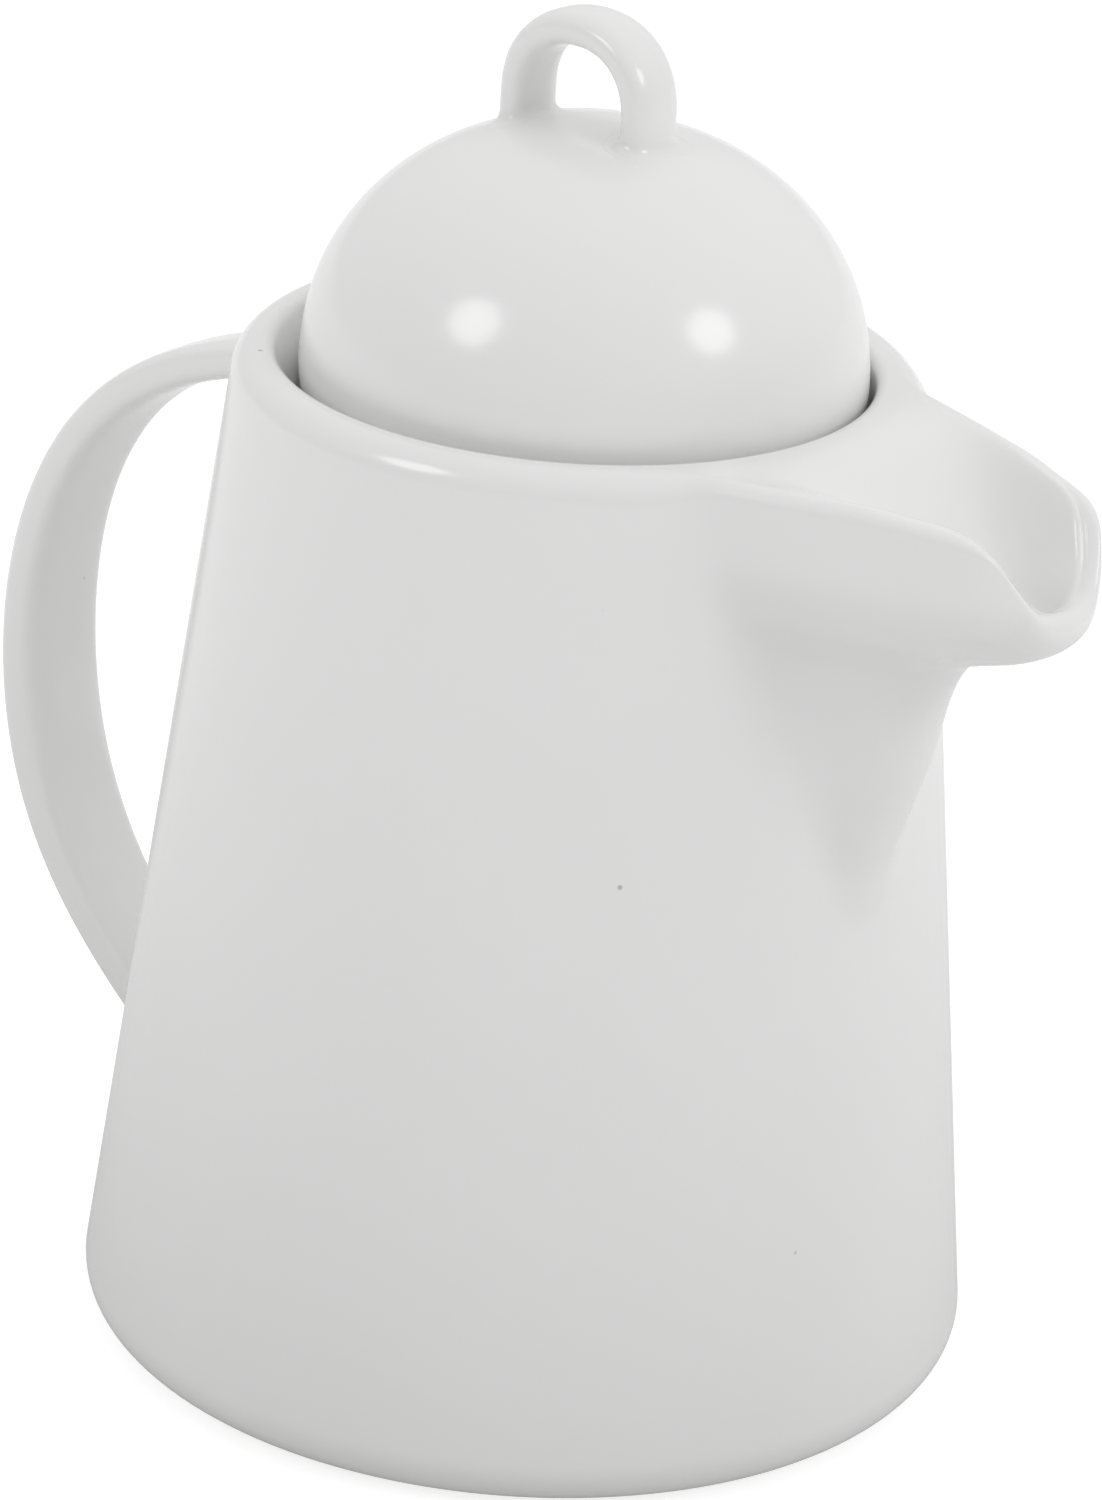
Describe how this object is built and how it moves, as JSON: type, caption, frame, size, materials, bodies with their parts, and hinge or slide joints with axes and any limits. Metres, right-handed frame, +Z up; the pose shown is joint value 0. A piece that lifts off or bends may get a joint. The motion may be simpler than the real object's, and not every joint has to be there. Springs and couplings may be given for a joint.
{
  "type": "coffee pot",
  "caption": "White glazed porcelain coffee pot: conical body, beak spout with open trough, strap handle and a domed lift-off lid with a loop.",
  "frame": {"origin": "middle of the bounding box's underside, at the height of the plane the foot ring stands on; the pot's turning axis is 8.45 mm from it, towards the spout", "axes": "+X from the handle to the spout, +Y across the pot, to the left for someone looking from the handle to the spout, +Z up"},
  "size_m": [0.1813, 0.1234, 0.1893],
  "materials": {
    "pot_glaze": "gloss",
    "spout_glaze": "gloss",
    "handle_glaze": "gloss",
    "lid_glaze": "gloss",
    "loop_glaze": "gloss"
  },
  "bodies": {
    "pot": {"pot_body": "pot_glaze", "spout": "spout_glaze", "handle": "handle_glaze"},
    "lid": {"lid_shell": "lid_glaze", "lid_loop": "loop_glaze"}
  },
  "joints": [
    {"name": "lid_lift", "type": "slide", "parent": "pot", "child": "lid", "axis": [0, 0, 1], "range_m": [0, 0.08]}
  ]
}
